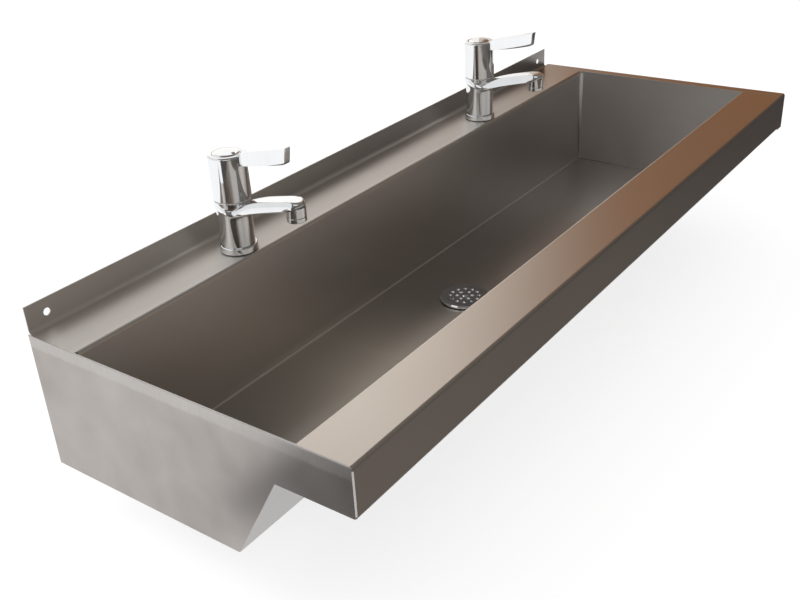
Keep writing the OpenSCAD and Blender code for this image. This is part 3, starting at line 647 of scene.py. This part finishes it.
def makeWeld(name, wallX, inward):
    # a bead that fills the corner between an end panel and the bowl, from the ledge round to the rim
    radius = trough["fold"]
    floorZ = ledgeZ - trough["bowl"]
    slope = Vector((0, rimY - floorY, ledgeZ - floorZ)).normalized()
    backCentre = Vector((0, -trough["ledge"] - radius, floorZ + radius))
    frontCentre = Vector((0, floorY + radius * math.tan(slopeTurn / 2), floorZ + radius))
    curve = []
    for centre, start, end in ((backCentre, -math.pi / 2, 0.0), (frontCentre, 0.0, slopeTurn)):
        for i in range(5):
            turn = start + (end - start) * i / 4
            normal = Vector((0, math.sin(turn), math.cos(turn)))
            curve.append((centre - normal * radius, normal))
    top, wallNormal = Vector((0, -trough["ledge"], ledgeZ - weld["belowLedge"])), Vector((0, -1, 0))
    line = [(top.lerp(curve[0][0], share), wallNormal) for share in (0.0, 0.25, 0.5, 0.75)] + curve
    line.append((Vector((0, rimY, ledgeZ)) - slope * weld["belowRim"], Vector((0, slope.z, -slope.y))))
    legs = weld["legs"][:-1] + [weld["legs"][-1]] * (len(line) - 4)
    section = [(0.0, 0.0), (1.0, 0.0)]
    for i in range(1, weld["steps"]):
        turn = math.pi / 2 * i / weld["steps"]
        section.append((1 - math.sin(turn) * weld["hollow"], 1 - math.cos(turn) * weld["hollow"]))
    section.append((0.0, 1.0))
    deselectAll()
    bpy.ops.mesh.primitive_circle_add(vertices=len(section), radius=legs[0], location=(wallX, top.y, top.z),
                                      fill_type="NGON")
    obj = settlePrimitive(name)
    startEdit(obj, "VERT")
    shape = bmesh.from_edit_mesh(obj.data)
    order = list(shape.verts)
    for row, (base, normal) in enumerate(line):
        if row:
            # the end face is drawn out again, and its corners are found in their old order
            selectNone()
            shape = bmesh.from_edit_mesh(obj.data)
            for face in shape.faces:
                if set(v.index for v in face.verts) == ends:
                    face.select_set(True)
            bmesh.update_edit_mesh(obj.data)
            extrudeBy(y=0.0001)
            shape = bmesh.from_edit_mesh(obj.data)
            fresh = [v for v in shape.verts if v.select]
            order = sorted(fresh, key=lambda v: min(range(len(section)), key=lambda i: (v.co - last[i]).length))
        last = []
        for vert, (out, up) in zip(order, section):
            vert.co = Vector((wallX + inward * out * legs[row], 0, 0)) + base + normal * up * legs[row]
            last.append(vert.co + Vector((0, 0.0001, 0)))
        shape.verts.index_update()
        ends = set(v.index for v in order)
        bmesh.update_edit_mesh(obj.data)
    stopEdit()
    tidyNormals(obj, 1e-7)
    smoothShade(obj, 50)
    finishPiece(obj, "trough", weldWithPaintedShade, "satin_steel")


makeWeld("weldLeft", leftEnd + sheet, 1)
makeWeld("weldRight", rightEnd - sheet, -1)
print("welds run")


# taps; heights are over the ledge
tap = dict(ring=0.024, ringHeight=0.008, ringRound=0.0016, ringBore=0.0108, seal=0.0012, foot=0.021,
           body=0.0224, collar=0.0235, footZ=0.0092, top=0.0695, spoutOut=0.103, spoutUnder=0.0755, rise=12.9,
           thick=0.0126, nozzle=0.012, outlet=0.0605, aerator=0.006, outletBore=0.0085, tail=0.01048,
           tailBore=0.0065, tailLength=0.055, tailTop=0.0112, chamber=0.0126, chamberFloor=0.0435,
           threadPitch=0.0018, threadDepth=0.0007)
lever = dict(hub=0.02375, bore=0.02075, low=0.0706, top=0.1276, edge=0.003, reach=0.101, width=0.0105,
             cap=0.0175, dome=0.0022, recess=0.0025, roof=0.0065, gap=0.0003, screwHead=0.0039,
             screwSink=0.0025, screwBore=0.0023, spindle=0.0053, spindleTop=0.1020, neck=0.0090, neckLow=0.0850,
             split=0.122, underCurve=(0.11285, 0.11735, 0.13085), topCurve=(0.12935, 0.13775, 0.15035),
             stations=[0.0300, 0.0420, 0.0560, 0.0700, 0.0840, 0.0955, 0.1000])


def atTap(k):
    return Vector((tapX[k], tapY, ledgeZ))


def spoutUnderAt(y):
    # underside of the spout at y, which is negative in front of the tap's axis
    return tap["spoutUnder"] - (y + tap["spoutOut"]) * math.tan(math.radians(tap["rise"]))


def creaseEdges(obj, test, amount):
    mesh = obj.data
    layer = mesh.attributes.get("crease_edge") or mesh.attributes.new("crease_edge", "FLOAT", "EDGE")
    for edge in mesh.edges:
        a, b = (mesh.vertices[i].co for i in edge.vertices)
        if test(a, b):
            layer.data[edge.index].value = amount


def betweenPoints(table, value):
    # straight-line look-up in a table of (value, result) rows
    for (lowAt, low), (highAt, high) in zip(table, table[1:]):
        if value <= highAt:
            return low + (high - low) * (value - lowAt) / (highAt - lowAt)
    return table[-1][1]


# the collar's lower and upper edge, as height against the angle from the spout
collarLow = [(0, 0.0548), (22.5, 0.0541), (45, 0.0529), (67.5, 0.0549), (90, 0.0586), (112.5, 0.0612),
             (180, 0.0625)]
collarHigh = [(0, 0.0684), (22.5, 0.0664), (45, 0.0584), (67.5, 0.0604), (90, 0.0658), (112.5, 0.0682),
              (180, 0.0686)]
flareTable = [(0, 1.0), (70, 1.0), (150, 0.2), (180, 0.2)]
spoutDrop = [(-0.2, 0.0), (-0.066, 0.0), (-0.024, 0.0024), (0.0, 0.0026)]
bodyRows = [0.0092, 0.0102, 0.030, 0.045, 0.052, 0.056, 0.060, 0.064, 0.067, 0.0695]
# the spout's stations: y from the axis, half width below and half width on top; None is the round nose
spoutRows = [(-0.034, 0.0152, 0.0118), (-0.062, 0.0147, 0.0113), (-0.090, 0.0142, 0.0110),
             (-0.0995, 0.0140, 0.0109), (None, 0.0142, 0.0112)]


def turnFromSpout(p, origin):
    return math.degrees(abs(math.atan2(p.x - origin.x, origin.y - p.y)))


def makeTapBody(k):
    sides = 16
    swell = 1 / (2 / 3 + math.cos(math.tau / sides) / 3)     # how much wider the cage is than the smooth form
    origin = atTap(k)
    deselectAll()
    bpy.ops.mesh.primitive_cylinder_add(vertices=sides, radius=tap["foot"] * swell,
                                        depth=tap["top"] - tap["footZ"],
                                        location=origin + Vector((0, 0, (tap["top"] + tap["footZ"]) / 2)))
    obj = settlePrimitive(f"tap{k}Body")
    startEdit(obj)
    for level in bodyRows[1:-1]:
        cutAcross(origin + Vector((0, 0, level)), (0, 0, 1))
    stopEdit()
    thick = tap["thick"] / math.cos(math.radians(tap["rise"]))

    def shapeBody(p):
        # tapers the body and lets the collar sweep down to the spout's root
        height, radius = p.z - origin.z, (p - origin).xy.length
        if radius < 0.001:
            return p
        turn = turnFromSpout(p, origin)
        low, high = betweenPoints(collarLow, turn), betweenPoints(collarHigh, turn)
        flare, collar = betweenPoints(flareTable, turn), tap["collar"]
        taper = tap["foot"] + (tap["body"] - tap["foot"]) * height / 0.0655
        inset = 0.0010 * min(1.0, max(0.0, (0.0686 - high) / 0.006))
        # height and radius of the rows round the collar, from the one well under it to the body's top
        rows = {3: (low - 0.0085, taper), 4: (low - 0.0014, tap["body"] - 0.0002),
                5: (low, collar + 0.0012 * flare), 6: ((low + high) / 2, collar + 0.0007 * flare),
                7: (high, collar - 0.0003 * flare),
                8: (high + min(0.0012, (tap["top"] - high) / 2), collar - inset), 9: (height, collar)}
        row = min(range(len(bodyRows)), key=lambda i: abs(bodyRows[i] - height))
        height, wanted = rows.get(row, (height, taper))
        scale = wanted * swell / radius
        return Vector((origin.x + (p.x - origin.x) * scale, origin.y + (p.y - origin.y) * scale,
                       origin.z + height))

    startEdit(obj)
    pick("faces", lambda f: abs(f.normal.z) < 0.5 and 0.0565 < middleOf(f).z - origin.z < 0.0635
         and turnFromSpout(middleOf(f), origin) < 45)
    moveVerts(shapeBody)

    # the spout is drawn out of the collar's front faces, three rows high and five columns wide
    for y, low, high in spoutRows:
        extrudeBy(y=-0.008)
        shape = bmesh.from_edit_mesh(obj.data)
        chosen = [v for v in shape.verts if v.select]
        widest = max(abs(v.co.x - origin.x) for v in chosen)
        columns = {}
        for v in chosen:
            columns.setdefault(round(2 * (v.co.x - origin.x) / widest), []).append(v)
        for column, stack in columns.items():
            side = column / 2
            for row, v in enumerate(sorted(stack, key=lambda v: v.co.z)):
                half = (low, (low + high) / 2 + 0.0005, high)[row]
                across, along = side * half, y
                if y is None:
                    across = half * math.sin(side * math.pi / 2)
                    along = -tap["spoutOut"] - half * math.cos(side * math.pi / 2)
                up = spoutUnderAt(along) + thick * row / 2 - betweenPoints(spoutDrop, along) * (1 - row / 2)
                if row == 2 and y is None:
                    up -= 0.0046 * math.cos(side * math.pi / 2)
                elif row == 2:
                    up += 0.0005 * (1 - side * side) - (0.0010 if y == -0.0995 else 0)
                v.co = origin + Vector((across, along, up))
        bmesh.update_edit_mesh(obj.data)
    stopEdit()
    top, under = origin.z + tap["top"], origin.z + tap["footZ"]
    creaseEdges(obj, lambda a, b: abs(a.z - top) < 1e-5 and abs(b.z - top) < 1e-5
                and min((a - origin).xy.length, (b - origin).xy.length) > 0.02, 0.9)
    creaseEdges(obj, lambda a, b: abs(a.z - under) < 1e-5 and abs(b.z - under) < 1e-5, 0.9)

    def onCollar(table):
        def test(a, b):
            for p in (a, b):
                turn = turnFromSpout(p, origin)
                if turn < 40 or (p - origin).xy.length > 0.0275:
                    return False
                if abs(p.z - origin.z - betweenPoints(table, turn)) > 0.0004:
                    return False
            return True
        return test

    creaseEdges(obj, onCollar(collarLow), 0.55)
    creaseEdges(obj, onCollar(collarHigh), 0.5)

    def alongSpout(low, high, amount):
        # the long edges of the spout, as far as its nose
        def test(a, b):
            if max(a.y, b.y) > origin.y - 0.012 or abs(a.y - b.y) < 0.004:
                return False
            if abs((a.x + b.x) / 2 - origin.x) < 0.0095:
                return False
            heights = [(p.z - origin.z - spoutUnderAt(p.y - origin.y)) / thick for p in (a, b)]
            return all(low < h < high for h in heights)
        creaseEdges(obj, test, amount)

    alongSpout(-0.3, 0.25, 0.68)
    alongSpout(0.75, 1.3, 0.5)
    withModifier(obj, "SUBSURF", levels=3, render_levels=3)
    # nozzle under the nose
    mouth = origin + Vector((0, -tap["spoutOut"], 0))
    low, high = tap["outlet"] + tap["aerator"], tap["spoutUnder"] + 0.0030
    nozzle = turnedPiece("nozzle", [(tap["outletBore"], low), (tap["nozzle"] - 0.0005, low),
                                    (tap["nozzle"], low + 0.0005), (tap["nozzle"], high), (0, high),
                                    (0, low + 0.006), (tap["outletBore"], low + 0.006)], mouth, 64, True)
    cutAway(obj, nozzle, "UNION")
    # chamber of the cartridge, open at the top
    depth = tap["top"] + 0.001 - tap["chamberFloor"]
    cutAway(obj, cylinderAt("chamber", origin + Vector((0, 0, tap["chamberFloor"] + depth / 2)), tap["chamber"],
                            depth, 60, (0, 0, math.radians(2.1))))
    # threaded tail with a plain relief above its free end
    pitch, crest = tap["threadPitch"], tap["tail"]
    root = crest - tap["threadDepth"]
    outline = [(tap["tailBore"], -tap["tailLength"]), (root, -tap["tailLength"])]
    z = -tap["tailLength"] + pitch * 0.4
    while z < -0.004:
        outline += [(crest, z + pitch * 0.3), (crest, z + pitch * 0.45), (root, z + pitch * 0.8)]
        z += pitch
    outline += [(crest, z), (crest, tap["tailTop"]), (0, tap["tailTop"]), (0, 0.001), (tap["tailBore"], 0.001)]
    tail = turnedPiece("tail", outline, origin, 48, True)
    cutAway(obj, tail, "UNION")
    tidyNormals(obj, 2e-6)
    smoothShade(obj, 32)
    finishPiece(obj, "trough", chrome, "chrome", f"tap_{k}_body")


def makeTapTrim(k):
    origin = atTap(k)
    low, high = tap["seal"], tap["seal"] + tap["ringHeight"]
    edge, bore, rounding = tap["ring"], tap["ringBore"], tap["ringRound"]
    ring = turnedPiece(f"tap{k}BaseRing", [(bore, low), (edge - 0.0003, low), (edge, low + 0.0003)]
                       + arcPoints((edge - rounding, high - rounding), rounding, 0, 90)
                       + [(0.0216, high), (0.0214, high - 0.0004), (bore, high - 0.0004)], origin, 96, True)
    smoothShade(ring, 32)
    finishPiece(ring, "trough", chrome, "chrome", f"tap_{k}_base_ring")
    mouth = origin + Vector((0, -tap["spoutOut"], 0))
    low, high = tap["outlet"], tap["outlet"] + tap["aerator"]
    edge, bore = tap["nozzle"], tap["outletBore"]
    housing = turnedPiece(f"tap{k}Aerator", [(bore, low + 0.0004), (bore + 0.0004, low)]
                          + arcPoints((edge - 0.0009, low + 0.0009), 0.0009, -90, 0)
                          + [(edge, high - 0.0006), (edge - 0.0004, high - 0.0002), (bore, high - 0.0002)],
                          mouth, 64, True)
    smoothShade(housing, 32)
    finishPiece(housing, "trough", chrome, "chrome", f"tap_{k}_aerator")


def bend(first, middle, last, share):
    # height on a curve that starts at first, is drawn towards middle and ends at last
    return (1 - share) ** 2 * first + 2 * share * (1 - share) * middle + share ** 2 * last


def makeLever(k):
    origin = atTap(k)
    top, gap = lever["top"], lever["gap"]          # the gap runs round the cap
    seat = top - lever["recess"]
    hub, edge, low, roof = lever["hub"], lever["edge"], lever["low"], top - lever["roof"]
    wide, head, screw = lever["cap"] + gap, lever["screwHead"], lever["screwBore"]
    deep, spindle, neck = seat - lever["screwSink"], lever["spindle"], lever["neck"]
    outline = [(lever["bore"], low), (hub - 0.0004, low), (hub, low + 0.0004)]
    outline += arcPoints((hub - edge, top - edge), edge, 0, 78, 6)
    outline += [(wide + 0.0004, top - 0.0001), (wide, top - 0.0005), (wide, seat), (head, seat), (head, deep),
                (screw, deep), (screw, lever["spindleTop"]), (spindle, lever["spindleTop"]),
                (spindle, lever["neckLow"]), (neck, lever["neckLow"]), (neck, roof), (lever["bore"], roof)]
    obj = turnedPiece(f"tap{k}Lever", outline, origin, 96, True)
    # blade: a block on the hub's front, drawn out along two curves
    blade = shapeAt("blade", bpy.ops.mesh.primitive_cube_add, origin + Vector((0, -0.0215, lever["split"])),
                    (lever["width"], 0.003, 0.014))
    startEdit(blade)
    pick("faces", lambda f: f.normal.y < -0.5)
    for out in lever["stations"]:
        extrudeBy(y=-0.005)
        shape = bmesh.from_edit_mesh(blade.data)
        for v in shape.verts:
            if v.select:
                v.co.y = origin.y - out
        bmesh.update_edit_mesh(blade.data)
    stopEdit()

    def shapeBlade(p):
        out = origin.y - p.y
        share = min(1.0, max(0.0, out / lever["reach"]))
        upper = p.z > origin.z + lever["split"]
        height = bend(*lever["topCurve" if upper else "underCurve"], share)
        if out < 0.0215:                                      # sunk into the hub's rounded edge
            height = 0.1262 if upper else 0.1145
            out = 0.0188
        elif out < 0.0240:
            height = 0.1302 if upper else height
        elif out < 0.0310:
            height = height - 0.0010 if upper else height
        if out > 0.0990 and not upper:
            out -= 0.0030
        half = lever["width"] / 2 * (1.0 - 0.06 * share)
        return Vector((origin.x + math.copysign(half, p.x - origin.x), origin.y - out, origin.z + height))

    startEdit(blade, "VERT")
    moveVerts(shapeBlade)
    stopEdit()
    creaseEdges(blade, lambda a, b: abs(a.y - b.y) > 0.001 and abs(a.x - b.x) < 0.002, 0.72)
    creaseEdges(blade, lambda a, b: max(a.y, b.y) < origin.y - 0.0960, 0.6)
    withModifier(blade, "SUBSURF", levels=3, render_levels=3)
    cutAway(obj, blade, "UNION")
    smoothShade(obj, 32)
    finishPiece(obj, f"lever_{k}", chrome, "chrome", f"tap_{k}_lever")
    # domed cap with a fine turned ring
    rings = 14
    outline = [(0, seat), (lever["cap"] - 0.0003, seat), (lever["cap"], seat + 0.0003)]
    for i in range(rings + 1):
        radius = lever["cap"] * (1 - i / rings)
        height = top + lever["dome"] * (1 - (radius / lever["cap"]) ** 2)
        outline.append((radius, height - (0.0005 if i == 1 else 0)))
    cap = turnedPiece(f"tap{k}Cap", outline, origin, 72)
    cutAway(cap, cylinderAt("pipSeat", origin + Vector((0, -0.0115, top + 0.0022)), 0.00235, 0.0035, 32))
    smoothShade(cap, 32)
    finishPiece(cap, f"lever_{k}", chrome, "chrome", f"tap_{k}_cap")


for k in (1, 2):
    makeTapBody(k)
    makeTapTrim(k)
    makeLever(k)
print("taps drawn")


# finishes of the nodes that stay
for part in frame["record"]["subparts"]:
    name = part["node"]
    if name in nodes and part["material_slot"] in slotFinish:
        node = nodes[name]
        node.data.materials.clear()
        node.data.materials.append(slotFinish[part["material_slot"]])
print("finishes given")

# floor, light and camera
studio = dict(floorZ=-0.262, world=0.88, floorWhite=0.74, floorShade=0.34, matte=0.8,
              darkFloor=(0.085, 0.080, 0.077), floorNear=(0.185, 0.170, 0.160), floorFar=(0.075, 0.069, 0.068),
              darkFront=(0.16, 0.155, 0.15), brownSide=(0.283, 0.133, 0.058), darkSide=(0.085, 0.08, 0.077),
              sideSteps=[(4.1, 4.6, (0.40, 0.31, 0.25)), (4.6, 5.3, (0.64, 0.56, 0.50)),
                         (5.3, 6.6, (1.05, 1.00, 0.95)), (6.6, 28.0, (1.17, 1.15, 1.12))],
              sweep=(0.95, 0.95, 0.95), darkAbove=(0.19, 0.18, 0.17), aboveCentre=(1.6, -3.0, 5.0),
              aboveRadius=6.2)


def plainEmission(name, color):
    material = bpy.data.materials.new(name)
    material.use_nodes = True
    tree = material.node_tree
    tree.nodes.clear()
    light = tree.nodes.new("ShaderNodeEmission")
    light.inputs["Color"].default_value = (*color, 1)
    out = tree.nodes.new("ShaderNodeOutputMaterial")
    tree.links.new(light.outputs["Emission"], out.inputs["Surface"])
    return material


def gradedEmission(name, startX, endX, startColor, endColor):
    # a card whose tone changes along the trough
    material = plainEmission(name, startColor)
    tree = material.node_tree
    blend = mixColors(tree, rising(tree, axesOf(tree)[0], startX, endX), startColor, endColor)
    tree.links.new(blend, tree.nodes["Emission"].inputs["Color"])
    return material


def stageCard(card, material):
    # a studio card only shows in the metal
    card.data.materials.append(material)
    for kind in ("camera", "diffuse", "transmission", "volume_scatter", "shadow"):
        setattr(card, "visible_" + kind, False)


def makeCard(name, centre, size, turn, material):
    stageCard(shapeAt(name, bpy.ops.mesh.primitive_plane_add, centre, (*size, 1),
                      [math.radians(a) for a in turn]), material)


def makeAbove():
    # round card overhead, so that the inside of the bowl stays dark
    deselectAll()
    bpy.ops.mesh.primitive_circle_add(vertices=64, radius=studio["aboveRadius"], fill_type="NGON",
                                      location=studio["aboveCentre"])
    stageCard(settlePrimitive("cardAbove"), plainEmission("cardDarkAbove", studio["darkAbove"]))


def makeFloor():
    # nearly white where it is seen, with the trough's shadow; plain matte to the light it gives back
    floorObj = shapeAt("studioFloor", bpy.ops.mesh.primitive_plane_add, (0, 0, studio["floorZ"]), (30, 30, 1))
    material = bpy.data.materials.new("paleFloor")
    material.use_nodes = True
    tree = material.node_tree
    tree.nodes.clear()
    path = tree.nodes.new("ShaderNodeLightPath")
    seen = mathOf(tree, "MAXIMUM", path.outputs["Is Camera Ray"],
                  mathOf(tree, "MAXIMUM", path.outputs["Is Glossy Ray"], path.outputs["Is Transmission Ray"]))
    matte = tree.nodes.new("ShaderNodeBsdfDiffuse")
    matte.inputs["Color"].default_value = (studio["matte"],) * 3 + (1,)
    shade = tree.nodes.new("ShaderNodeBsdfDiffuse")
    shade.inputs["Color"].default_value = (studio["floorShade"],) * 3 + (1,)
    glow = tree.nodes.new("ShaderNodeEmission")
    glow.inputs["Strength"].default_value = studio["floorWhite"]
    both = tree.nodes.new("ShaderNodeAddShader")
    mix = tree.nodes.new("ShaderNodeMixShader")
    out = tree.nodes.new("ShaderNodeOutputMaterial")
    for output, socket in ((shade.outputs["BSDF"], both.inputs[0]), (glow.outputs["Emission"], both.inputs[1]),
                           (seen, mix.inputs["Fac"]), (matte.outputs["BSDF"], mix.inputs[1]),
                           (both.outputs["Shader"], mix.inputs[2]),
                           (mix.outputs["Shader"], out.inputs["Surface"])):
        tree.links.new(output, socket)
    floorObj.data.materials.append(material)


makeFloor()
cardZ = studio["floorZ"] + 0.004
makeCard("cardFloorFront", (4.15, -3.97, cardZ), (9.7, 7.0), (0, 0, 0),
         gradedEmission("cardGradedFloor", -0.5, 1.1, studio["floorNear"], studio["floorFar"]))
# flat cards; the last is a soft white one high at the front left, for the sweep of the taps' collars
for name, centre, size, turn, tone in (
        ("cardFloorLeft", (-4.20, -3.805, cardZ), (7.0, 7.33), (0, 0, 0), "darkFloor"),
        ("cardFront", (1.0, -7.4, 4.0), (17.0, 8.6), (90, 0, 0), "darkFront"),
        ("cardLeft", (-7.4, -4.2, 4.0), (7.0, 8.6), (90, 0, 90), "darkFront"),
        ("cardRight", (9.0, 1.55, 4.0), (5.1, 8.6), (90, 0, 90), "brownSide"),
        ("cardRightFront", (9.0, -4.25, 4.0), (6.5, 8.6), (90, 0, 90), "darkSide"),
        ("cardSweep", (-2.78, -2.33, 1.69), (2.9, 1.3), (65, 0, -50), "sweep")):
    makeCard(name, centre, size, turn, plainEmission(name + "Tone", studio[tone]))
# the wall side turns from brown to warm white in steps, which the satin steel blurs together
for number, (nearY, farY, color) in enumerate(studio["sideSteps"]):
    makeCard(f"cardSide{number}", (9.0, (nearY + farY) / 2, 5.7), (farY - nearY, 12.0), (90, 0, 90),
             plainEmission(f"cardSideTone{number}", color))
makeAbove()


def makeLamp(name, place, size, power):
    data = bpy.data.lights.new(name, "AREA")
    data.shape = "RECTANGLE"
    data.size, data.size_y = size
    data.energy = power
    lamp = bpy.data.objects.new(name, data)
    bpy.context.scene.collection.objects.link(lamp)
    lamp.location = place
    lamp.visible_glossy = False
    lamp.rotation_euler = (Vector((0, -0.2, 0)) - Vector(place)).to_track_quat("-Z", "Y").to_euler()


makeLamp("softKey", (-1.6, 1.4, 2.2), (1.6, 1.2), 18)
makeLamp("softFill", (-2.2, -2.0, 2.4), (1.2, 1.2), 10)

world = bpy.data.worlds.new("studioWorld")
bpy.context.scene.world = world
world.use_nodes = True
backdrop = world.node_tree.nodes["Background"]
backdrop.inputs["Color"].default_value = (1, 1, 1, 1)
# plain white where the camera sees past the floor, a little less in the metal and on the floor
sight = world.node_tree.nodes.new("ShaderNodeLightPath")
level = rangeOf(world.node_tree, sight.outputs["Is Camera Ray"], studio["world"], 1.0, 0.0, 1.0)
world.node_tree.links.new(level, backdrop.inputs["Strength"])

cameraData = bpy.data.cameras.new("photoCamera")
camera = bpy.data.objects.new("photoCamera", cameraData)
bpy.context.scene.collection.objects.link(camera)
camera.location = (-1.1185, -0.9054, 0.5187)
camera.rotation_euler = (math.radians(61.766), math.radians(2.879), math.radians(-54.69))
cameraData.lens = 45.554
cameraData.sensor_width = 36
bpy.context.scene.camera = camera
bpy.context.scene.view_settings.view_transform = "Standard"
print("light and camera set")
